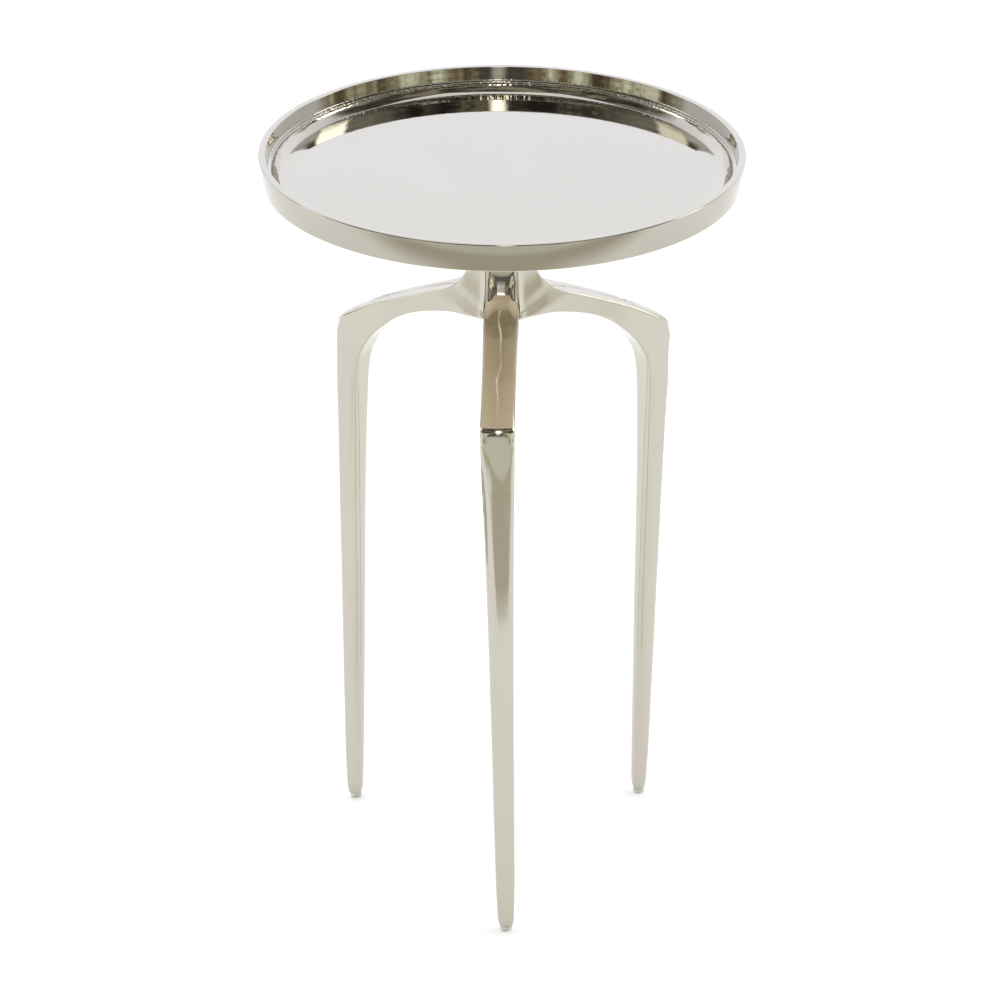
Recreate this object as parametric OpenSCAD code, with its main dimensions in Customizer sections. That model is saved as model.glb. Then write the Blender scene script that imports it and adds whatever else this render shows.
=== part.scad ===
// Tripod side table: round raised-rim tray on three cast legs that meet in a slender neck.
// Millimetres, +Z up. Origin on the floor, under the tray axis. Front leg towards -Y.

/* [Tray] */
// Outside diameter of the tray at its rim
tray_d = 330; // [300:1:400]
// Floor to the top of the rim
table_h = 546.5; // [520:0.5:600]
// Height of the tray side
tray_side_h = 19.6; // [18:0.1:26]
// Thickness of the tray floor
tray_floor_t = 2.5; // [2.2:0.1:5]
// Amount the tray side leans in towards its underside
tray_lean = 2.3; // [0:0.1:6]
// Thickness of the rounded lip
lip_t = 5; // [4:0.1:8]
// Depth of the step inside the lip
step_depth = 10; // [8:0.1:11]
// Width of the sloped cove between tray wall and tray floor
cove_w = 6; // [4:0.1:8]
// Height of the sloped cove
cove_h = 5; // [2.5:0.1:5]
// Diameter of the cast boss under the tray floor
boss_d = 104; // [96:1:140]
// Thickness of the cast boss
boss_t = 6; // [5.5:0.1:10]

/* [Legs] */
// Radius from the axis to the outer face of a leg
leg_r = 133.2; // [126:0.1:140]
// Height of the outer knee corner
knee_z = 397.5; // [380:0.5:405]
// Height of the underside of the arms where they meet
hub_z = 423; // [415:0.5:428]
// Side-to-side width of an arm
arm_w = 23.2; // [20:0.1:27]
// Side-to-side width of the neck
neck_w = 19.8; // [18:0.1:23]
// Radius of the waist of the neck
waist_r = 18; // [16:0.1:22]
// Side-to-side width of a leg near its foot
ankle_w = 13.6; // [12:0.1:15]
// Sideways drift of an arm, in degrees round the axis
arm_yaw = -1.5; // [-3:0.1:3]
// Sideways lean of a leg from its knee to its foot
leg_lean = 7; // [-10:0.1:10]
// Radius of the plan fillet between two neighbouring arms
crotch_r = 9; // [8:0.5:18]

/* [Hardware] */
// Diameter of the round steel mounting plate
plate_d = 92; // [90:1:94]
// Thickness of the mounting plate
plate_t = 5; // [4:0.1:6]
// Diameter of the centre stud
stud_d = 8; // [6:0.5:8]
// Diameter of the leg screws
leg_screw_d = 6; // [5:0.5:6]
// Diameter of the tray screws
tray_screw_d = 5; // [4:0.5:5]
// Diameter of a foot glide
glide_d = 8.6; // [8:0.1:9]
// Height of the visible pad of a foot glide
glide_h = 4; // [3:0.1:6]

/* [Hidden] */
tray_r = tray_d / 2;
tray_z = table_h - tray_side_h;
boss_z = tray_z - boss_t;
plate_z = boss_z - plate_t;
legs_az = [-90, 30, 150];

bore_r = 4.5;
mitre = tan(60);
leg_screw_r = 12;
leg_screw_l = 26;
tray_screw_r = 39;
glide_stem_d = 4;
glide_stem_l = 12;
slack = 0.1;

stud_r = stud_d / 2;
washer_t = 2;
nut_af = 13;
nut_h = 6.5;
facets = 96;

// ---------------------------------------------------------------- helpers

// points of an arc, centre c, radius r, from angle a to angle b in n steps
function arc(c, r, a, b, n) = [
  for (i = [0:n])
    let(t = a + (b - a) * i / n)
    [c[0] + r * cos(t), c[1] + r * sin(t)]
];

// Catmull-Rom value between rows p1 and p2 of a list of equal-length rows
function blend(p0, p1, p2, p3, t) =
  0.5 * (2 * p1 + (p2 - p0) * t + (2 * p0 - 5 * p1 + 4 * p2 - p3) * t * t
    + (3 * p1 - p0 - 3 * p2 + p3) * t * t * t);

// smooth list of rows with k steps per span
function smooth_rows(q, k) = [
  for (i = [0:len(q) - 2])
    let(a = q[max(i - 1, 0)], d = q[min(i + 2, len(q) - 1)])
    for (j = [0:k - 1])
      blend(a, q[i], q[i + 1], d, j / k),
  q[len(q) - 1]
];

module around() {
  for (a = legs_az)
    rotate([0, 0, a])
      children();
}

// ---------------------------------------------------------------- tray

// half section of the tray: flat floor, sloped cove, step, rounded lip, leaning side
module tray_section() {
  z0 = tray_z;
  top = table_h;
  floor_z = z0 + tray_floor_t;
  r_in = tray_r - lip_t;
  r_step = r_in - 2.2;
  r_low = r_step - 1.6;
  r_floor = r_low - cove_w;
  lip = 1.5;
  polygon(concat(
    [[0, boss_z], [boss_d / 2 - 1.5, boss_z], [boss_d / 2, boss_z + 1.5], [boss_d / 2, z0]],
    arc([tray_r - tray_lean - 1, z0 + 1], 1, -90, -8, 4),
    arc([tray_r - lip, top - lip], lip, 0, 90, 6),
    arc([r_in + lip, top - lip], lip, 90, 180, 6),
    [[r_step, top - step_depth + 0.6], [r_step - 0.6, top - step_depth], [r_low + 0.3, top - step_depth - 0.2]],
    [[r_low, top - step_depth - 0.7], [r_low, floor_z + cove_h + 0.3], [r_low - 0.3, floor_z + cove_h - 0.3]],
    [[r_floor + cove_w * 0.45, floor_z + cove_h * 0.36], [r_floor + cove_w * 0.15, floor_z + cove_h * 0.06]],
    [[r_floor, floor_z], [0, floor_z]]
  ));
}

module tray() {
  color([0.80, 0.79, 0.76])
    difference() {
      rotate_extrude($fn = 180)
        tray_section();
      rotate([0, 0, 60])
        around()
          translate([tray_screw_r, 0, boss_z - 1])
            cylinder(h = 7.5, d = tray_screw_d + slack, $fn = 32);
    }
}

// ---------------------------------------------------------------- hardware

module mount_plate() {
  color([0.55, 0.55, 0.56])
    translate([0, 0, plate_z])
      difference() {
        cylinder(h = plate_t, d = plate_d, $fn = facets);
        translate([0, 0, -1])
          cylinder(h = plate_t + 2, d = stud_d + slack, $fn = 48);
        around()
          translate([leg_screw_r, 0, 0]) {
            translate([0, 0, -1])
              cylinder(h = plate_t + 2, d = leg_screw_d + 0.5, $fn = 32);
            translate([0, 0, plate_t - 3.2])
              cylinder(h = 3.21, d1 = leg_screw_d + 0.5, d2 = 2 * leg_screw_d + 0.6, $fn = 48);
          }
        rotate([0, 0, 60])
          around()
            translate([tray_screw_r, 0, -1])
              cylinder(h = plate_t + 2, d = tray_screw_d + 0.6, $fn = 32);
      }
}

// countersunk screw, flat head up at z = 0, shank down
module csk_screw(d, l) {
  head_h = 3;
  difference() {
    union() {
      translate([0, 0, -head_h])
        cylinder(h = head_h, d1 = d, d2 = 2 * d, $fn = 48);
      translate([0, 0, -l])
        cylinder(h = l - head_h, d = d, $fn = 32);
    }
    translate([0, 0, -2])
      cylinder(h = 3, d = d * 0.7, $fn = 6);
  }
}

module leg_screws() {
  color([0.42, 0.42, 0.44])
    around()
      translate([leg_screw_r, 0, boss_z - 0.15])
        csk_screw(leg_screw_d, leg_screw_l);
}

// pan head screw, head under z = 0, shank up
module pan_screw(d, l) {
  head_r = d * 0.95;
  head_h = d * 0.6;
  difference() {
    union() {
      rotate_extrude($fn = 48)
        polygon(concat(
          [[0, 0], [0, -head_h]],
          arc([head_r - 1.2, -head_h + 1.2], 1.2, -90, 0, 4),
          [[head_r, 0]]
        ));
      cylinder(h = l, d = d, $fn = 32);
    }
    translate([0, 0, -head_h - 1])
      cylinder(h = 1 + head_h * 0.7, d = d * 0.6, $fn = 6);
  }
}

module tray_screws() {
  color([0.42, 0.42, 0.44])
    rotate([0, 0, 60])
      around()
        translate([tray_screw_r, 0, plate_z - 1])
          pan_screw(tray_screw_d, plate_t + 1 + 5.5);
}

module tray_screw_washers() {
  color([0.5, 0.5, 0.52])
    rotate([0, 0, 60])
      around()
        translate([tray_screw_r, 0, plate_z - 1])
          difference() {
            cylinder(h = 1, d = tray_screw_d * 2, $fn = 48);
            translate([0, 0, -1])
              cylinder(h = 3, d = tray_screw_d + 0.4, $fn = 32);
          }
}

module centre_stud() {
  low = hub_z - washer_t - nut_h - 1;
  color([0.45, 0.45, 0.47])
    translate([0, 0, low])
      union() {
        cylinder(h = 1, r1 = stud_r - 0.8, r2 = stud_r, $fn = 48);
        translate([0, 0, 1])
          cylinder(h = boss_z - low - 1.2, r = stud_r, $fn = 48);
      }
}

module hub_washer() {
  color([0.6, 0.6, 0.62])
    translate([0, 0, hub_z - washer_t])
      difference() {
        cylinder(h = washer_t, d = 24, $fn = 64);
        translate([0, 0, -1])
          cylinder(h = washer_t + 2, d = stud_d + 0.4, $fn = 48);
      }
}

// dome nut: hexagon above, spherical cap below, blind thread
module hub_nut() {
  top = hub_z - washer_t;
  dome_r = nut_af / 2 - 0.3;
  color([0.72, 0.71, 0.69])
    difference() {
      union() {
        translate([0, 0, top - nut_h])
          cylinder(h = nut_h, d = nut_af / cos(30), $fn = 6);
        intersection() {
          translate([0, 0, top - nut_h])
            sphere(r = dome_r, $fn = 64);
          translate([0, 0, top - nut_h - dome_r - 1])
            cylinder(h = dome_r + 1.5, r = dome_r + 1, $fn = 64);
        }
      }
      translate([0, 0, top - nut_h - 2])
        cylinder(h = nut_h + 4, d = stud_d + slack, $fn = 48);
    }
}

// ---------------------------------------------------------------- legs

// Design stations of one leg in its own radial plane, from the neck top to the foot:
// [outer r, outer z, inner r, inner z, width, corner radius]
function stations() =
  let(
    zt = plate_z,
    r = leg_r,
    k = knee_z,
    h = hub_z,
    b = bore_r,
    w = arm_w,
    n = neck_w
  )
  [
    [waist_r + 9, zt, b, zt, n + 4, 2.2],
    [waist_r + 4.5, zt - 8, b, zt - 8, n + 1.6, 2.4],
    [waist_r + 0.8, zt - 20, b, zt - 20, n + 0.2, 2.6],
    [waist_r + 0.2, h + 56, b, h + 54, n, 2.6],
    [waist_r + 2.3, h + 43, b, h + 38, n, 2.5],
    [waist_r + 6.6, h + 33, b, h + 24, n + 0.2, 2.4],
    [waist_r + 12, h + 25, b, h + 12, n + 1.4, 2.2],
    [waist_r + 19, h + 19, b + 0.5, h + 1, n + 3.4, 2],
    [waist_r + 29, h + 14.2, b + 14, h, w + 1.2, 2],
    [waist_r + 42, h + 8.7, b + 32, h - 0.7, w + 0.6, 2],
    [waist_r + 62, h + 0.2, b + 57, h - 7, w, 2],
    [r - 35, h - 8, b + 76, h - 16.2, w, 2],
    [r - 19, k + 9, r - 38.5, k - 2.5, w, 2],
    [r - 9.5, k + 3.6, r - 32.5, k - 9, w, 2.2],
    [r - 4.7, k + 0.3, r - 29, k - 13.5, w, 2.3],
    [r - 2.7, k - 3.8, r - 26.4, k - 17.5, w, 2.5],
    [r - 2, k - 13, r - 23.5, k - 23, w, 2.8],
    [r - 1, k - 27, r - 20.6, k - 30, w - 0.6, 3.4],
    [r - 0.3, k - 42, r - 18.8, k - 42, w - 1.2, 4.4],
    [r - 0.1, k - 58, r - 18.2, k - 58, w - 2, 5.2],
    [r - 0.3, k - 82, r - 18, k - 82, w - 3.2, 6],
    [r - 0.5, k - 120, r - 17.6, k - 120, w - 4.5, 6.6],
    [r - 1, k - 175, r - 17.3, k - 175, w - 6, 6.7],
    [r - 1.8, k - 240, r - 17, k - 240, w - 7.5, 6.5],
    [r - 2.8, 90, r - 16.3, 90, ankle_w + 1, 6.2],
    [r - 3.4, 44, r - 15.7, 44, ankle_w, 5.9],
    [r - 4.2, 20, r - 15.2, 20, ankle_w - 1.2, 5.2],
    [r - 4.9, 9, r - 14.7, 9, ankle_w - 2.2, 4.6],
    [r - 6, glide_h, r - 13.6, glide_h, ankle_w - 4.4, 3.6]
  ];

// sideways offset of the leg centre at radius r and height z
function side_shift(r, z) =
  tan(arm_yaw) * max(r - 24, 0) + leg_lean * max(knee_z - z, 0) / knee_z * min(1, max(r - 60, 0) / 50);

// half width allowed at radius r: plan fillet into the neighbour, never past the mitre plane
function flare(r, hw) =
  let(
    yc = hw + crotch_r,
    rc = yc / mitre,
    d = max(rc - r, 0),
    s = d > 0 ? hw + crotch_r - sqrt(max(crotch_r * crotch_r - d * d, 0)) : hw
  )
  min(s, mitre * r);

// one section: loop of 3-D points, rounded rectangle between outer and inner point
function loop(q) =
  let(
    o = [q[0], q[1]],
    i = [q[2], q[3]],
    len_oi = norm(o - i),
    u = (o - i) / len_oi,
    a = len_oi / 2,
    b = q[4] / 2,
    c = min(q[5], a * 0.96, b * 0.96),
    mid = (o + i) / 2,
    ci = q[3] > hub_z + 2 ? 0.8 : c,
    quarter = [for (j = [0:4]) [cos(22.5 * j), sin(22.5 * j)]],
    side = [for (j = [1:3]) a - c + (ci + c - 2 * a) * j / 4],
    half = concat(
      [for (p = quarter) [a - c + c * p[0], b - c + c * p[1]]],
      [for (t = side) [t, b]],
      [for (j = [4:-1:0]) [-a + ci - ci * quarter[j][0], b - ci + ci * quarter[j][1]]]
    ),
    full = concat(half, [for (j = [len(half) - 1:-1:0]) [half[j][0], -half[j][1]]])
  )
  [
    for (p = full)
      let(
        rr = mid[0] + u[0] * p[0],
        zz = mid[1] + u[1] * p[0],
        y = p[1] * flare(rr, b) / b
      )
      [rr, y + side_shift(rr, zz), zz]
  ];

module leg_blank() {
  rows = smooth_rows(stations(), 2);
  loops = [for (q = rows) loop(q)];
  n = len(loops[0]);
  m = len(loops);
  pts = [for (l = loops) for (p = l) p];
  sides = [
    for (k = [0:m - 2])
      for (j = [0:n - 1])
        let(a = k * n + j, b = k * n + (j + 1) % n, c = a + n, d = b + n)
        for (f = [[a, b, d], [a, d, c]])
          f
  ];
  top = [for (j = [n - 1:-1:0]) j];
  foot = [for (j = [0:n - 1]) (m - 1) * n + j];
  polyhedron(points = pts, faces = concat(sides, [top], [foot]), convexity = 8);
}

foot_r = leg_r - 9.8;
foot_y = side_shift(foot_r, glide_h);

module leg() {
  difference() {
    leg_blank();
    translate([leg_screw_r, 0, plate_z - leg_screw_l])
      cylinder(h = leg_screw_l + 1, d = leg_screw_d + slack, $fn = 32);
    translate([foot_r, foot_y, glide_h - 1])
      cylinder(h = glide_stem_l + 1.5, d = glide_stem_d + slack, $fn = 32);
  }
}

module leg_at(az) {
  color([0.76, 0.74, 0.70])
    rotate([0, 0, az])
      leg();
}

module leg_front() {
  leg_at(legs_az[0]);
}

module leg_rear_right() {
  leg_at(legs_az[1]);
}

module leg_rear_left() {
  leg_at(legs_az[2]);
}

// turned nylon glide: rounded pad on the floor, stem pressed into the leg
module glide_at(az) {
  r = glide_d / 2;
  color([0.86, 0.86, 0.82])
    rotate([0, 0, az])
      translate([foot_r, foot_y, 0])
        rotate_extrude($fn = 48)
          polygon(concat(
            [[0, 0]],
            arc([r - 1.4, 1.2], 1.2, -90, 0, 4),
            [[r, glide_h - 0.4], [r - 0.6, glide_h]],
            [[glide_stem_d / 2, glide_h], [glide_stem_d / 2, glide_h + glide_stem_l - 0.8]],
            [[glide_stem_d / 2 - 0.8, glide_h + glide_stem_l], [0, glide_h + glide_stem_l]]
          ));
}

module glide_front() {
  glide_at(legs_az[0]);
}

module glide_rear_right() {
  glide_at(legs_az[1]);
}

module glide_rear_left() {
  glide_at(legs_az[2]);
}

// ---------------------------------------------------------------- output

tray();
mount_plate();
tray_screws();
tray_screw_washers();
leg_front();
leg_rear_right();
leg_rear_left();
leg_screws();
centre_stud();
hub_washer();
hub_nut();
glide_front();
glide_rear_right();
glide_rear_left();
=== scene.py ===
"""Looks for the tripod tray side table: mirror-polished nickel finish over cast metal."""
import math

import bmesh
import bpy
import numpy as np
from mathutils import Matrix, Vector, noise


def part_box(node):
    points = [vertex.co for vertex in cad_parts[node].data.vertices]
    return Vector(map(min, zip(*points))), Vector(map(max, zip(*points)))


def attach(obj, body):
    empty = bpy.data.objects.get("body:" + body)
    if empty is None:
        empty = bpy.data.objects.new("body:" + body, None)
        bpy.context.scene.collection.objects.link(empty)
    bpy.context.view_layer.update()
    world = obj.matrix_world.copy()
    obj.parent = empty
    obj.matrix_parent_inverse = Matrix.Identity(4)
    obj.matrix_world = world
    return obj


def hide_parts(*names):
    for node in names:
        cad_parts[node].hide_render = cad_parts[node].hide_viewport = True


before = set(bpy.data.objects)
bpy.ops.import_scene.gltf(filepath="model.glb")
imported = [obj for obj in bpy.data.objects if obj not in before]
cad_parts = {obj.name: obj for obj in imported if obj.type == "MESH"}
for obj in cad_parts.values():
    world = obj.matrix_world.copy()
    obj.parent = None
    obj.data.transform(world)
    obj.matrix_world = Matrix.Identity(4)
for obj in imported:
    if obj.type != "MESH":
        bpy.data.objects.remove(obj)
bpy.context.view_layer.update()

MM = 0.001

# ---------------------------------------------------------------- sizes, read from the frame

tray_low, tray_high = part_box("tray")
plate_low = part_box("mount_plate")[0]
washer_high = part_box("hub_washer")[1]
leg_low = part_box("leg_front")[0]

TRAY_R = tray_high.x / MM
TABLE_H = tray_high.z / MM
BOSS_Z = tray_low.z / MM
PLATE_Z = plate_low.z / MM
HUB_Z = washer_high.z / MM
FOOT_Z = leg_low.z / MM

# Tray, in millimetres.
SIDE_H = 19.6        # height of the rim
FLOOR_T = 2.5        # thickness of the floor
TRAY_LEAN = 2.3      # how far the side leans in at its bottom edge
LIP_T = 5.0          # thickness of the rim at the lip
LIP_R = 0.8          # rounding of the lip's outer edge
STEP_DEPTH = 10.0    # lip down to the small step inside
STEP_W = 2.2
LEDGE_W = 1.6        # flat below the step, with a rounded nose
NOSE_R = 0.7
COVE_W = 6.0         # sloped band between the wall and the floor
COVE_H = 5.0
BOSS_R = 52.0        # turned boss under the tray
TURNED_EDGE = 1.5    # rounding of the boss and of its root

# Legs, in millimetres.
LEG_R = 133.2        # outer face of a leg from the axis
KNEE_Z = 397.5
ARM_W = 23.2
NECK_W = 19.8
WAIST_R = 18.0       # narrowest point of the neck
ANKLE_W = 13.6
LEG_LEAN = 7.0       # sideways lean of a foot
CROTCH_R = 9.0       # plan fillet between neighbouring arms
BORE_R = 4.5         # hole for the stud, on the axis
ARM_YAW = math.radians(-1.5)
MITRE = math.tan(math.radians(60))
LEG_AZIMUTHS = {"leg_front": -90, "leg_rear_right": 30, "leg_rear_left": 150}
LEG_SEEDS = {"leg_front": 1.7, "leg_rear_right": 9.1, "leg_rear_left": 16.4}


# ---------------------------------------------------------------- mesh helpers

def new_object(name, verts, faces, smooth_angle=None):
    """Mesh object from points in millimetres, shaded smooth with optional sharp edges."""
    mesh = bpy.data.meshes.new(name)
    mesh.from_pydata([tuple(c * MM for c in v) for v in verts], [], faces)
    mesh.validate()
    for poly in mesh.polygons:
        poly.use_smooth = True
    if smooth_angle is not None:
        mesh.set_sharp_from_angle(angle=math.radians(smooth_angle))
    obj = bpy.data.objects.new(name, mesh)
    bpy.context.scene.collection.objects.link(obj)
    return obj


def arc(centre, radius, start, end, steps):
    """Points of a circular arc, angles in degrees."""
    points = []
    for i in range(steps + 1):
        t = math.radians(start + (end - start) * i / steps)
        points.append((centre[0] + radius * math.cos(t), centre[1] + radius * math.sin(t)))
    return points


def revolve(name, profile, segments, warp=None, smooth_angle=None):
    """Closed solid of revolution. The profile runs from the axis and back to the axis."""
    verts = []
    faces = []
    rings = []
    for r, z in profile:
        if r < 1e-6:
            rings.append([len(verts)])
            verts.append((0, 0, z))
            continue
        ring = []
        for j in range(segments):
            a = 2 * math.pi * j / segments
            dr, dz = warp(r, z, a) if warp else (0, 0)
            ring.append(len(verts))
            verts.append(((r + dr) * math.cos(a), (r + dr) * math.sin(a), z + dz))
        rings.append(ring)
    for low, high in zip(rings, rings[1:]):
        for j in range(segments):
            k = (j + 1) % segments
            if len(low) == 1:
                faces.append((low[0], high[k], high[j]))
            elif len(high) == 1:
                faces.append((low[j], low[k], high[0]))
            else:
                faces.append((low[j], low[k], high[k], high[j]))
    return new_object(name, verts, faces, smooth_angle)


def tube_faces(rings, n):
    """Faces of a tube of rings with n points each, closed at both ends."""
    faces = []
    for k in range(rings - 1):
        for j in range(n):
            i = (j + 1) % n
            faces.append((k * n + j, (k + 1) * n + j, (k + 1) * n + i, k * n + i))
    faces.append(tuple(range(n - 1, -1, -1)))
    faces.append(tuple(range((rings - 1) * n, rings * n)))
    return faces


def wobble(x, y, z, scale, seed=0.0):
    """Smooth noise between about -1 and 1, one feature per scale millimetres."""
    return noise.noise(Vector((x / scale + seed, y / scale - seed, z / scale + 2 * seed)))


def ease(value, low, high):
    """Smooth step from 0 at low to 1 at high."""
    t = max(0.0, min(1.0, (value - low) / (high - low)))
    return t * t * (3 - 2 * t)


def give(obj, material):
    """One material for the whole object."""
    obj.data.materials.clear()
    obj.data.materials.append(material)


# ---------------------------------------------------------------- tray

def tray_profile():
    """Half section: underside, leaning side, rounded lip, step, sloped cove, flat floor."""
    side_z = TABLE_H - SIDE_H
    floor_z = side_z + FLOOR_T
    r_in = TRAY_R - LIP_T
    r_step = r_in - STEP_W
    r_low = r_step - LEDGE_W
    r_floor = r_low - COVE_W
    step_z = TABLE_H - STEP_DEPTH
    nose_z = step_z - 0.8
    cove = (0.75, 0.6, 0.45, 0.3, 0.18, 0.08)
    edge = TURNED_EDGE
    points = [(0, BOSS_Z), (20, BOSS_Z), (BOSS_R - edge, BOSS_Z), (BOSS_R, BOSS_Z + edge)]
    points += arc((BOSS_R + edge, side_z - edge), edge, 180, 90, 5)
    points += [(90, side_z), (130, side_z)]
    points += arc((TRAY_R - TRAY_LEAN - 1, side_z + 1), 1, -90, -8, 6)
    points += arc((TRAY_R - LIP_R, TABLE_H - LIP_R), LIP_R, 0, 90, 7)
    points += arc((r_in + 0.4, TABLE_H - 0.4), 0.4, 90, 180, 5)
    points += [(r_in - 0.13 * i, TABLE_H - 1.4 - 1.1 * i) for i in range(1, 6)]
    points += arc((r_in - 0.8 - 0.9, step_z + 0.9), 0.9, 0, -90, 5)
    points += [(r_step - 0.1, step_z - 0.05)]
    points += arc((r_low + NOSE_R, nose_z), NOSE_R, 90, 180, 4)
    points += [(r_low, nose_z - 0.3 * i) for i in range(1, 4)]
    points += [(r_low - 0.15, floor_z + COVE_H + 0.1), (r_low - 0.5, floor_z + COVE_H - 0.5)]
    points += [(r_floor + COVE_W * t, floor_z + COVE_H * t ** 1.25) for t in cove]
    points += [(r, floor_z) for r in (r_floor - 0.3, 140, 120, 95, 70, 45, 20, 0)]
    return points


def tray_warp(r, z, a):
    """Hand-finished unevenness: slow waves in the walls and a rough cast bead under the step."""
    x, y = r * math.cos(a), r * math.sin(a)
    inside = r < TRAY_R - LIP_T + 0.5 and z > TABLE_H - SIDE_H + FLOOR_T + 0.2
    if not inside:
        if r > TRAY_R - 6 and z < TABLE_H - 2:
            return 0.05 * wobble(x, y, z, 55, 3.1), 0
        return 0, 0
    bead_z = TABLE_H - STEP_DEPTH - 0.9
    near_bead = math.exp(-((z - bead_z) / 1.1) ** 2)
    rough = wobble(x, y, z * 0.6, 1.9, 7.7) + 0.6 * wobble(x, y, z, 0.9, 4.4)
    rough *= 0.75 + 0.7 * wobble(x, y, z, 34, 2.2)
    slow = wobble(x, y, z, 30, 1.3)
    low_wall = ease(bead_z - z, 0.8, 2.0)
    streak = 0.02 * wobble(x, y, 0, 1.5, 9.2) + 0.05 * wobble(x, y, 0, 6.0, 3.3)
    return (0.09 * slow - 0.5 * near_bead * rough + low_wall * streak,
            0.2 * near_bead * wobble(x, y, z, 2.1, 5.0))


def make_tray():
    """Spun and polished tray, satin underneath."""
    tray = revolve("tray_spun", tray_profile(), 1440, tray_warp, smooth_angle=42)
    tray.data.materials.append(tray_metal)
    tray.data.materials.append(tray_under)
    for poly in tray.data.polygons:
        if poly.normal.z < -0.5 or poly.center.z < (TABLE_H - SIDE_H) * MM:
            poly.material_index = 1
    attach(tray, "root")
    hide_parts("tray")


# ---------------------------------------------------------------- legs

def leg_stations():
    """Sections from the neck top to the foot: outer r and z, inner r and z, width, corner radius."""
    zt, r, k, h, b, w, n = PLATE_Z, LEG_R, KNEE_Z, HUB_Z, BORE_R, ARM_W, NECK_W
    s = WAIST_R
    return np.array([
        [s + 9, zt, b, zt, n + 4, 2.2],
        [s + 4.5, zt - 8, b, zt - 8, n + 1.6, 2.4],
        [s + 0.8, zt - 20, b, zt - 20, n + 0.2, 2.6],
        [s + 0.2, h + 56, b, h + 54, n, 2.6],
        [s + 2.3, h + 43, b, h + 38, n, 2.5],
        [s + 6.6, h + 33, b, h + 24, n + 0.2, 2.4],
        [s + 12, h + 25, b, h + 12, n + 1.4, 2.2],
        [s + 19, h + 19, b + 0.5, h + 1, n + 3.4, 2],
        [s + 29, h + 14.2, b + 14, h, w + 1.2, 2],
        [s + 42, h + 8.7, b + 32, h - 0.7, w + 0.6, 2],
        [s + 62, h + 0.2, b + 57, h - 7, w, 2],
        [r - 35, h - 8, b + 76, h - 16.2, w, 2],
        [r - 19, k + 9, r - 38.5, k - 2.5, w, 2],
        [r - 9.5, k + 3.6, r - 32.5, k - 9, w, 2.2],
        [r - 4.7, k + 0.3, r - 29, k - 13.5, w, 2.3],
        [r - 2.7, k - 3.8, r - 26.4, k - 17.5, w, 2.5],
        [r - 2, k - 13, r - 23.5, k - 23, w, 2.8],
        [r - 1, k - 27, r - 20.6, k - 30, w - 0.6, 3.4],
        [r - 0.3, k - 42, r - 18.8, k - 42, w - 1.2, 4.4],
        [r - 0.1, k - 58, r - 18.2, k - 58, w - 2, 5.2],
        [r - 0.3, k - 82, r - 18, k - 82, w - 3.2, 6],
        [r - 0.5, k - 120, r - 17.6, k - 120, w - 4.5, 6.6],
        [r - 1, k - 175, r - 17.3, k - 175, w - 6, 6.7],
        [r - 1.8, k - 240, r - 17, k - 240, w - 7.5, 6.5],
        [r - 2.8, 90, r - 16.3, 90, ANKLE_W + 1, 6.2],
        [r - 3.4, 44, r - 15.7, 44, ANKLE_W, 5.9],
        [r - 4.2, 20, r - 15.2, 20, ANKLE_W - 1.2, 5.2],
        [r - 4.9, 9, r - 14.7, 9, ANKLE_W - 2.2, 4.6],
        [r - 6, FOOT_Z, r - 13.6, FOOT_Z, ANKLE_W - 4.4, 3.6],
    ], float)


def smooth_rows(rows, steps):
    """Catmull-Rom curve through the rows."""
    out = []
    last = len(rows) - 1
    for i in range(last):
        p0, p1 = rows[max(i - 1, 0)], rows[i]
        p2, p3 = rows[i + 1], rows[min(i + 2, last)]
        for j in range(steps):
            t = j / steps
            out.append(0.5 * (2 * p1 + (p2 - p0) * t + (2 * p0 - 5 * p1 + 4 * p2 - p3) * t * t
                              + (3 * p1 - p0 - 3 * p2 + p3) * t ** 3))
    out.append(rows[last])
    return out


def side_shift(r, z):
    """Sideways drift of the arm and lean of the leg."""
    lean = LEG_LEAN * max(KNEE_Z - z, 0) / KNEE_Z * min(1, max(r - 60, 0) / 50)
    return math.tan(ARM_YAW) * max(r - 24, 0) + lean


def flare(r, half_width):
    """Half width with the plan fillet into the neighbouring leg."""
    d = max((half_width + CROTCH_R) / MITRE - r, 0)
    s = half_width + CROTCH_R - math.sqrt(max(CROTCH_R ** 2 - d * d, 0)) if d else half_width
    return min(s, MITRE * r)


def arm_relief(r, q, t):
    """Outer face of the neck and arm, q across the face in millimetres and t from -1 to 1."""
    hollow_at, hollow = (18.4, 20.3, 24.6, 30, 37, 47, 58), (0, 0.8, 3.1, 4.4, 3.2, 1.0, 0)
    scoop = float(np.interp(r, hollow_at, hollow)) * (1 - t ** 4)
    crown = 0.75 * ease(r, WAIST_R + 12, WAIST_R + 34) + 0.4 * ease(r, LEG_R - 26, LEG_R - 12)
    # A raised line wanders along the arm, higher and lower, and fades out at both ends.
    line = 1.0 * math.sin(r / 9.0) + 0.5 * math.sin(r / 4.1 + 1)
    run = ease(r, 30, 36) * (1 - ease(r, LEG_R - 14, LEG_R - 9))
    height = 0.5 + 0.3 * math.sin(r / 7.0 + 0.6)
    ridge = height * run * math.exp(-((q - line) / 0.34) ** 2)
    return ridge - crown * t * t - scoop


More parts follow.
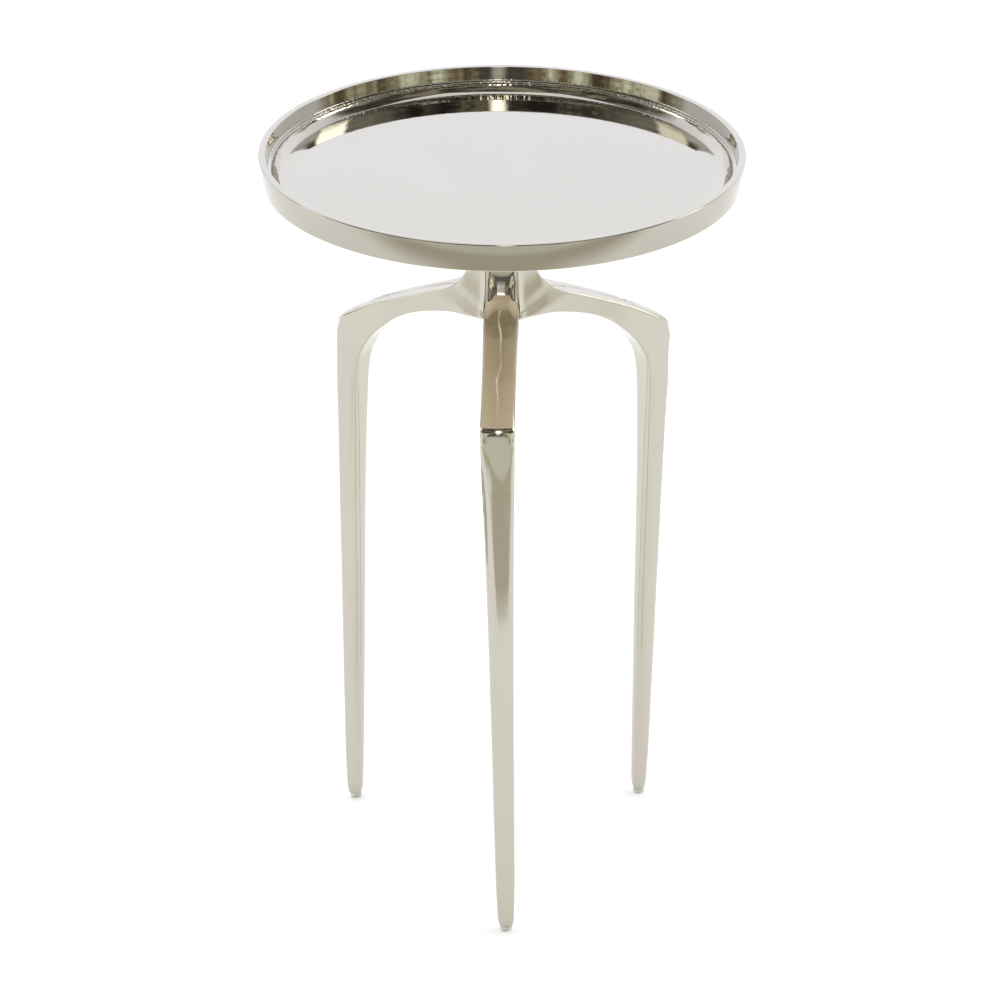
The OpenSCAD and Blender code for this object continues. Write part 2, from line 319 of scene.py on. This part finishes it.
def shin_relief(below, q, t):
    """Outer face from the knee down, by millimetres below the knee."""
    crown = 1.9 * (1 - ease(below, 3, 12)) * t * t
    # Two ground planes narrow the flat under the knee to a shield, then meet in a short keel.
    shield = 1 - max(0.0, min(1.0, (below - 4) / 40))
    keel = 1 - ease(below, 50, 90)
    cut = max(0.13 * (3.0 - 15.5 * shield - q), 0.17 * (q - 3.2 - 9.8 * shield)) * keel
    cut = 0.5 * (cut + math.sqrt(cut * cut + 0.14 ** 2))
    # One long facet runs down the left of the face, and the rest of it is slightly rounded.
    facet = -4.2 - q
    facet = 0.17 * (facet + math.sqrt(facet * facet + 0.6))
    facet *= ease(below, 12, 40) * (1 - 0.7 * ease(below, 150, 260))
    belly = 0.014 * q * q * ease(below, 40, 90) * (1 - 0.6 * ease(below, 200, 300))
    return -(crown + cut + facet + belly)


def face_relief(p, q, a, b, outer):
    """Hand-ground shape of the outer face, fading out around the edge of the section."""
    r, z = outer
    on_arm = z > KNEE_Z - 2 or r < 60
    depth = arm_relief(r, q, q / b) if on_arm else shin_relief(KNEE_Z - z, q, q / b)
    return ease(p, a - 3.2, a - 0.3) * depth


def leg_loop(row):
    """One closed section of a leg in its own frame: x radial, y sideways, z up."""
    outer, inner = row[0:2], row[2:4]
    length = float(np.linalg.norm(outer - inner))
    u = (outer - inner) / length
    mid = (outer + inner) / 2
    a, b = length / 2, row[4] / 2
    c = min(row[5], a * 0.96, b * 0.96)
    ci = 0.8 if inner[1] > HUB_Z + 2 else c
    crisp = c * (1 - 0.5 * ease(KNEE_Z - outer[1], 20, 60))
    steps, side, back, face = 8, 9, 5, 56
    pts = arc((a - crisp, b - crisp), crisp, 0, 90, steps)
    pts += [(a - crisp + (ci + crisp - 2 * a) * j / side, b) for j in range(1, side)]
    pts += arc((-a + ci, b - ci), ci, 90, 180, steps)
    pts += [(-a, (b - ci) * (1 - 2 * j / back)) for j in range(1, back)]
    pts += arc((-a + ci, -b + ci), ci, 180, 270, steps)
    pts += [(-a + ci + (2 * a - ci - c) * j / side, -b) for j in range(1, side)]
    pts += arc((a - c, -b + c), c, 270, 360, steps)
    for j in range(1, face):
        t = 2 * j / face - 1
        pts.append((a, (0.5 * t + 0.5 * t ** 3) * (b - (crisp if t > 0 else c))))
    loop = []
    for p, q in pts:
        p += face_relief(p, q, a, b, outer)
        r = mid[0] + u[0] * p
        z = mid[1] + u[1] * p
        loop.append((r, q * flare(r, b) / b + side_shift(r, z), z))
    return loop


def leg_wave(x, y, z, seed):
    """Slow unevenness of a hand-polished casting, fading out where legs meet."""
    fade = max(0.0, min(1.0, (x - 22) / 20))
    return fade * (0.16 * wobble(x, y, z, 48, seed) + 0.05 * wobble(x, y, z, 17, seed + 2))


def make_leg(node):
    """One leg casting, turned to its place about the axis."""
    loops = [leg_loop(row) for row in smooth_rows(leg_stations(), 9)]
    seed = LEG_SEEDS[node]
    azimuth = math.radians(LEG_AZIMUTHS[node])
    c, s = math.cos(azimuth), math.sin(azimuth)
    verts = []
    for x, y, z in np.array(loops).reshape(-1, 3):
        out = leg_wave(x, y, z, seed)
        x, y, z = x + out * 0.8, y + 0.5 * leg_wave(x, y, z, seed + 30), z + out * 0.3
        verts.append((x * c - y * s, x * s + y * c, z))
    leg = new_object(node + "_cast", verts, tube_faces(len(loops), len(loops[0])), smooth_angle=50)
    bm = bmesh.new()
    bm.from_mesh(leg.data)
    bmesh.ops.recalc_face_normals(bm, faces=bm.faces)
    bm.to_mesh(leg.data)
    bm.free()
    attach(leg, "root")
    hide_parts(node)
    give(leg, leg_metal)


# ---------------------------------------------------------------- shader nodes

def add_node(tree, kind, numbers, links):
    """New shader node, with numbers set on its inputs and sources linked to them, by name."""
    made = tree.nodes.new(kind)
    for name, value in numbers.items():
        made.inputs[name].default_value = value
    for name, source in links.items():
        tree.links.new(source, made.inputs[name])
    return made


def coordinates(tree, space):
    """Texture coordinate of the named space."""
    return tree.nodes.new("ShaderNodeTexCoord").outputs[space]


def axes(tree, vector):
    """The x, y and z of a vector."""
    split = add_node(tree, "ShaderNodeSeparateXYZ", {}, {"Vector": vector})
    return [split.outputs[axis] for axis in "XYZ"]


def length_of(tree, vector):
    """Length of a vector."""
    made = tree.nodes.new("ShaderNodeVectorMath")
    made.operation = "LENGTH"
    tree.links.new(vector, made.inputs[0])
    return made.outputs["Value"]


def scaled(tree, vector, scale, turn=(0, 0, 0)):
    """Coordinates scaled along each axis and turned by angles in radians."""
    made = add_node(tree, "ShaderNodeMapping", {"Scale": scale, "Rotation": turn}, {"Vector": vector})
    return made.outputs["Vector"]


def grain(tree, vector, scale, detail, roughness=0.5):
    """Procedural noise, 0..1."""
    numbers = {"Scale": scale, "Detail": detail, "Roughness": roughness}
    return add_node(tree, "ShaderNodeTexNoise", numbers, {"Vector": vector}).outputs["Fac"]


def math_node(tree, operation, *values):
    """Sum, product or other operation on sockets and plain numbers."""
    made = tree.nodes.new("ShaderNodeMath")
    made.operation = operation
    for socket, value in zip(made.inputs, values):
        if isinstance(value, (int, float)):
            socket.default_value = value
        else:
            tree.links.new(value, socket)
    return made.outputs["Value"]


def product(tree, first, *factors):
    """Product of two or more values."""
    for factor in factors:
        first = math_node(tree, "MULTIPLY", first, factor)
    return first


def size_of(tree, value):
    """Value without its sign."""
    return math_node(tree, "ABSOLUTE", value)


def remap(tree, source, low, high):
    """Value mapped from low..high to 0..1, eased and clamped."""
    made = add_node(tree, "ShaderNodeMapRange", {"From Min": low, "From Max": high}, {"Value": source})
    made.interpolation_type = "SMOOTHSTEP"
    return made.outputs["Result"]


def between(tree, source, low, rise, fall, high):
    """1 from rise to fall, easing to 0 at low and at high."""
    return product(tree, remap(tree, source, low, rise), remap(tree, source, high, fall))


def spread(tree, source, low, high, start=0.0, end=1.0):
    """Value mapped in a straight line from start..end to low..high."""
    numbers = {"From Min": start, "From Max": end, "To Min": low, "To Max": high}
    return add_node(tree, "ShaderNodeMapRange", numbers, {"Value": source}).outputs["Result"]


def ramp_node(tree, source, stops, interpolation):
    """Colour ramp fed by a 0..1 value."""
    ramp = add_node(tree, "ShaderNodeValToRGB", {}, {"Fac": source})
    ramp.color_ramp.interpolation = interpolation
    elements = ramp.color_ramp.elements
    while len(elements) < len(stops):
        elements.new(0.5)
    for element, (position, colour) in zip(elements, stops):
        element.position = position
        element.color = (*colour, 1)
    return ramp.outputs["Color"]


def mix_colour(tree, factor, first, second):
    """Colour that goes from first to second as the factor goes from 0 to 1."""
    made = tree.nodes.new("ShaderNodeMix")
    made.data_type = "RGBA"
    tree.links.new(factor, made.inputs["Factor"])
    sockets = [i for i in made.inputs if i.type == "RGBA"]
    for socket, value in zip(sockets, (first, second)):
        if isinstance(value, tuple):
            socket.default_value = (*value, 1)
        else:
            tree.links.new(value, socket)
    return [o for o in made.outputs if o.type == "RGBA"][0]


# ---------------------------------------------------------------- materials

NICKEL = (0.532, 0.505, 0.430)
TRAY_NICKEL = (0.450, 0.427, 0.368)
BUMP_DEPTH = 0.2 * MM


def new_material(name, metallic):
    """Principled material with its node tree and shader."""
    mat = bpy.data.materials.new(name)
    mat.use_nodes = True
    bsdf = mat.node_tree.nodes["Principled BSDF"]
    bsdf.inputs["Metallic"].default_value = metallic
    return mat, mat.node_tree, bsdf


def finish_surface(tree, bsdf, colour, roughness, height, bump):
    """Colour, roughness and a fine relief linked to the shader."""
    numbers = {"Strength": bump, "Distance": BUMP_DEPTH}
    relief = add_node(tree, "ShaderNodeBump", numbers, {"Height": height})
    tree.links.new(colour, bsdf.inputs["Base Color"])
    tree.links.new(roughness, bsdf.inputs["Roughness"])
    tree.links.new(relief.outputs["Normal"], bsdf.inputs["Normal"])


def arm_zone(tree, coord):
    """1 on top of the arms and 0 elsewhere: by distance from the axis and by height, in metres."""
    reach = length_of(tree, scaled(tree, coord, (1, 1, 0)))
    z = axes(tree, coord)[2]
    return product(tree, between(tree, reach, 0.028, 0.036, 0.085, 0.105), remap(tree, z, 0.395, 0.399))


def polished(name, colour, rough, cloud_scale, bump, haze, arm_haze=0.0):
    """Mirror-polished plated metal: faint clouding, hair scratches and a soft orange-peel bump."""
    mat, tree, bsdf = new_material(name, 1.0)
    coord = coordinates(tree, "Object")
    cloud = grain(tree, coord, cloud_scale, 5.0)
    deep = tuple(c * 0.97 for c in colour)
    tint = ramp_node(tree, cloud, [(0.3, deep), (0.7, colour)], "LINEAR")
    roughness = spread(tree, cloud, rough, rough + haze, 0.35, 0.75)
    if arm_haze:
        roughness = math_node(tree, "ADD", roughness, product(tree, arm_zone(tree, coord), arm_haze))
    hair = grain(tree, scaled(tree, coord, (2600, 90, 90), (0.2, 0.5, 0.6)), 1.0, 2.0)
    peel = grain(tree, coord, 160.0, 3.0)
    finish_surface(tree, bsdf, tint, roughness, math_node(tree, "MULTIPLY_ADD", hair, 0.25, peel), bump)
    return mat


def coated_steel(name, dark, light, rough, metallic, scale):
    """Plated or painted parts with a mottled surface."""
    mat, tree, bsdf = new_material(name, metallic)
    mottle = grain(tree, coordinates(tree, "Object"), scale, 6.0)
    tint = ramp_node(tree, mottle, [(0.35, dark), (0.68, light)], "LINEAR")
    finish_surface(tree, bsdf, tint, spread(tree, mottle, rough, rough + 0.15), mottle, 0.25)
    return mat


def nylon():
    """Milky translucent nylon of the glides."""
    mat = coated_steel("glide_nylon", (0.62, 0.62, 0.58), (0.80, 0.80, 0.76), 0.32, 0.0, 900)
    bsdf = mat.node_tree.nodes["Principled BSDF"]
    bsdf.inputs["Transmission Weight"].default_value = 0.25
    bsdf.inputs["IOR"].default_value = 1.53
    return mat


# ---------------------------------------------------------------- stage

PALE_FLOOR = (0.88, 0.885, 0.89)
# Painted shadow on the floor in front of the table, seen only in reflections: colour nearer the table,
# then further out.
FLOOR_SHADOW_NEAR = (0.49, 0.465, 0.385)
FLOOR_SHADOW_FAR = (0.64, 0.645, 0.58)
FLOOR_HALF = 12.0

SWEEP = (1.33, 1.35, 1.48)
SWEEP_BAND = (1.53, 1.56, 1.72)
SWEEP_TOP = (0.55, 0.57, 0.60)
CEILING = (1.30, 1.33, 1.42)
WINDOW = (6.5, 6.4, 6.2)
RIGHT_WINDOW = (5.5, 5.5, 5.4)
LEFT_WINDOW = (2.6, 2.6, 2.5)
WALL_AHEAD = (0.16, 0.155, 0.15)
SIDE_WALLS = (0.85, 0.85, 0.83)
GREENERY = (0.62, 0.66, 0.50)
DARK_CORNER = (0.16, 0.14, 0.13)
GARDEN = [(0.37, (0.10, 0.085, 0.06)), (0.45, (0.42, 0.33, 0.22)),
          (0.52, (0.80, 0.82, 0.60)), (0.60, (1.55, 1.60, 1.40))]
GLOOM = [(0.38, (0.05, 0.045, 0.042)), (0.50, (0.14, 0.125, 0.11)), (0.60, (0.40, 0.37, 0.29))]

# The camera, in tray radii from the middle of the floor under the table, and in radians.
CAMERA_AHEAD = 14.4184
CAMERA_UP = 9.0304
CAMERA_DOWN = 0.4704
CAMERA_ROLL = 0.0029


def area_light(name, place, target, size, power):
    """Soft rectangular light, not seen by the camera or in the polish."""
    data = bpy.data.lights.new(name, "AREA")
    data.shape = "RECTANGLE"
    data.size, data.size_y = size
    data.energy = power
    light = bpy.data.objects.new(name, data)
    light.location = place
    aim = Vector(target) - Vector(place)
    light.rotation_euler = aim.to_track_quat("-Z", "Y").to_euler()
    light.visible_glossy = False
    light.visible_camera = False
    bpy.context.scene.collection.objects.link(light)


def floor_painted_shadow(tree, x, y):
    """Floor colour as the polish reflects it: a painted shadow, a warm darker zone on the floor in
    front of the table.
    """
    # Mask of the painted shadow on the floor in front of the table, reaching nearer at the sides than
    # in the middle.
    beside = product(tree, remap(tree, x, -1.9, -0.7), remap(tree, x, 2.0, 1.1))
    aside = remap(tree, size_of(tree, x), 0.12, 0.45)
    middle = math_node(tree, "SUBTRACT", 1.0, aside)
    near_edge = product(tree, remap(tree, y, -0.545, -0.635), middle)
    side_edge = product(tree, remap(tree, y, -0.38, -0.86), aside)
    reach = product(tree, beside, math_node(tree, "ADD", near_edge, side_edge))
    # Colour of the painted shadow, from near to far.
    zone = mix_colour(tree, remap(tree, y, -0.94, -1.16), FLOOR_SHADOW_NEAR, FLOOR_SHADOW_FAR)
    return mix_colour(tree, reach, PALE_FLOOR, zone)


def make_floor():
    """Plain pale floor that melts into the background far away; only reflections see the painted shadow
    in front of the table.
    """
    mesh = bpy.data.meshes.new("floor")
    signs = ((-1, -1), (1, -1), (1, 1), (-1, 1))
    corners = [(sx * FLOOR_HALF, sy * FLOOR_HALF, 0) for sx, sy in signs]
    mesh.from_pydata(corners, [], [(0, 1, 2, 3)])
    floor = bpy.data.objects.new("floor", mesh)
    bpy.context.scene.collection.objects.link(floor)
    mat, tree, bsdf = new_material("pale_floor", 0.0)
    bsdf.inputs["Roughness"].default_value = 0.9
    bsdf.inputs["Specular IOR Level"].default_value = 0.0
    coord = coordinates(tree, "Object")
    x, y = axes(tree, coord)[:2]
    path = tree.nodes.new("ShaderNodeLightPath")
    # Reflections see the painted shadow; the camera sees the plain pale floor.
    colour = mix_colour(tree, path.outputs["Is Glossy Ray"], PALE_FLOOR, floor_painted_shadow(tree, x, y))
    tree.links.new(colour, bsdf.inputs["Base Color"])
    melt = product(tree, remap(tree, length_of(tree, coord), 2.6, 3.8), path.outputs["Is Camera Ray"])
    clear = tree.nodes.new("ShaderNodeBsdfTransparent")
    fade = add_node(tree, "ShaderNodeMixShader", {}, {"Fac": melt})
    tree.links.new(bsdf.outputs["BSDF"], fade.inputs[1])
    tree.links.new(clear.outputs["BSDF"], fade.inputs[2])
    tree.links.new(fade.outputs["Shader"], tree.nodes["Material Output"].inputs["Surface"])
    floor.data.materials.append(mat)


def room_ahead(tree, coord, x, z):
    """The dim side of the room: garden light low down, gloom above, and one narrow window."""
    patch = grain(tree, scaled(tree, coord, (1.0, 1.0, 0.45)), 4.6, 3.0, 0.6)
    side = remap(tree, size_of(tree, x), 0.62, 0.99)
    room = mix_colour(tree, side, ramp_node(tree, patch, GLOOM, "EASE"), SIDE_WALLS)
    middle = remap(tree, size_of(tree, x), 0.26, 0.16)
    garden = mix_colour(tree, middle, ramp_node(tree, patch, GARDEN, "EASE"), WALL_AHEAD)
    dim = mix_colour(tree, remap(tree, z, 0.18, 0.34), garden, room)
    across = remap(tree, size_of(tree, math_node(tree, "ADD", x, -0.026)), 0.085, 0.015)
    rise = math_node(tree, "ADD", product(tree, remap(tree, z, 0.02, 0.10), 0.13),
                     product(tree, remap(tree, z, 0.42, 0.52), 0.87))
    upright = product(tree, rise, remap(tree, z, 0.86, 0.66))
    return mix_colour(tree, product(tree, across, upright), dim, WINDOW)


def side_patches(tree, colour, x, y, z):
    """Greenery, a dark corner and a window on each side, low over the horizon."""
    shade = product(tree, between(tree, z, 0.27, 0.31, 0.46, 0.52),
                    remap(tree, size_of(tree, x), 0.62, 0.68))
    colour = mix_colour(tree, product(tree, shade, remap(tree, y, 0.62, 0.56)), colour, GREENERY)
    colour = mix_colour(tree, product(tree, shade, remap(tree, y, 0.48, 0.42)), colour, DARK_CORNER)
    flank = product(tree, between(tree, y, -0.04, 0.03, 0.28, 0.34),
                    remap(tree, z, 0.27, 0.31), remap(tree, z, 0.62, 0.52))
    colour = mix_colour(tree, product(tree, flank, remap(tree, x, 0.70, 0.80)), colour, RIGHT_WINDOW)
    return mix_colour(tree, product(tree, flank, remap(tree, x, -0.70, -0.80)), colour, LEFT_WINDOW)


def make_world():
    """The room that the polish reflects, by direction. The camera sees a plain white background."""
    world = bpy.data.worlds.new("studio")
    bpy.context.scene.world = world
    world.use_nodes = True
    tree = world.node_tree
    coord = coordinates(tree, "Generated")
    x, y, z = axes(tree, coord)
    sweep = ramp_node(tree, z, [(0.0, SWEEP), (0.20, SWEEP), (0.29, SWEEP_BAND),
                                (0.45, SWEEP_BAND), (0.56, SWEEP), (0.92, SWEEP_TOP)], "EASE")
    behind = math_node(tree, "SUBTRACT", y, product(tree, z, 0.40))
    colour = mix_colour(tree, remap(tree, behind, -0.04, 0.16), room_ahead(tree, coord, x, z), sweep)
    colour = side_patches(tree, colour, x, y, z)
    height = math_node(tree, "ADD", z, product(tree, y, 0.2))
    overhead = product(tree, remap(tree, height, 0.925, 0.945), remap(tree, y, -0.12, -0.08))
    colour = mix_colour(tree, overhead, colour, CEILING)
    path = tree.nodes.new("ShaderNodeLightPath")
    seen = mix_colour(tree, path.outputs["Is Camera Ray"], colour, (1.0, 1.0, 1.0))
    tree.links.new(seen, tree.nodes["Background"].inputs["Color"])


def make_camera():
    """The viewing angle: 2.38 m in front, 1.49 m up, looking down 27 degrees through a long lens."""
    data = bpy.data.cameras.new("camera")
    data.sensor_width = 36.0
    data.lens = 135.5
    data.shift_x = -0.00107
    data.clip_end = 50
    camera = bpy.data.objects.new("camera", data)
    camera.location = (0, -CAMERA_AHEAD * TRAY_R * MM, CAMERA_UP * TRAY_R * MM)
    camera.rotation_mode = "XYZ"
    camera.rotation_euler = (math.pi / 2 - CAMERA_DOWN, 0, 0)
    camera.rotation_euler.rotate_axis("Z", CAMERA_ROLL)
    bpy.context.scene.collection.objects.link(camera)
    bpy.context.scene.camera = camera


# ---------------------------------------------------------------- build

tray_metal = polished("nickel_tray", TRAY_NICKEL, 0.03, 9, 0.05, 0.03)
tray_under = coated_steel("nickel_cast_satin", (0.72, 0.62, 0.48), (0.84, 0.73, 0.57), 0.36, 1.0, 260)
leg_metal = polished("nickel_legs", NICKEL, 0.05, 14, 0.10, 0.05, arm_haze=0.17)
nut_metal = polished("nickel_nut", NICKEL, 0.08, 60, 0.10, 0.05)
plate_nickel = coated_steel("nickel_plate", (0.76, 0.67, 0.53), (0.86, 0.77, 0.61), 0.38, 1.0, 500)
screw_zinc = coated_steel("screw_zinc", (0.30, 0.30, 0.31), (0.45, 0.45, 0.44), 0.30, 1.0, 1400)
glide_nylon = nylon()

make_tray()
for leg_node in LEG_AZIMUTHS:
    make_leg(leg_node)

for cad_node, material in {
    "mount_plate": plate_nickel,
    "tray_screws": screw_zinc,
    "tray_screw_washers": screw_zinc,
    "leg_screws": screw_zinc,
    "centre_stud": screw_zinc,
    "hub_washer": nut_metal,
    "hub_nut": nut_metal,
    "glide_front": glide_nylon,
    "glide_rear_right": glide_nylon,
    "glide_rear_left": glide_nylon,
}.items():
    give(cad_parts[cad_node], material)

make_floor()
make_world()
make_camera()
area_light("top_soft", (0, 0.6, 3.4), (0, 0.6, 0), (12, 12), 255)
area_light("left_soft", (-3.2, 0.6, 1.3), (0, 0.2, 0), (3, 1.8), 40)
area_light("right_soft", (3.2, 0.6, 1.3), (0, 0.2, 0), (3, 1.8), 40)

bpy.context.scene.view_settings.view_transform = "Standard"
bpy.context.scene.view_settings.look = "None"
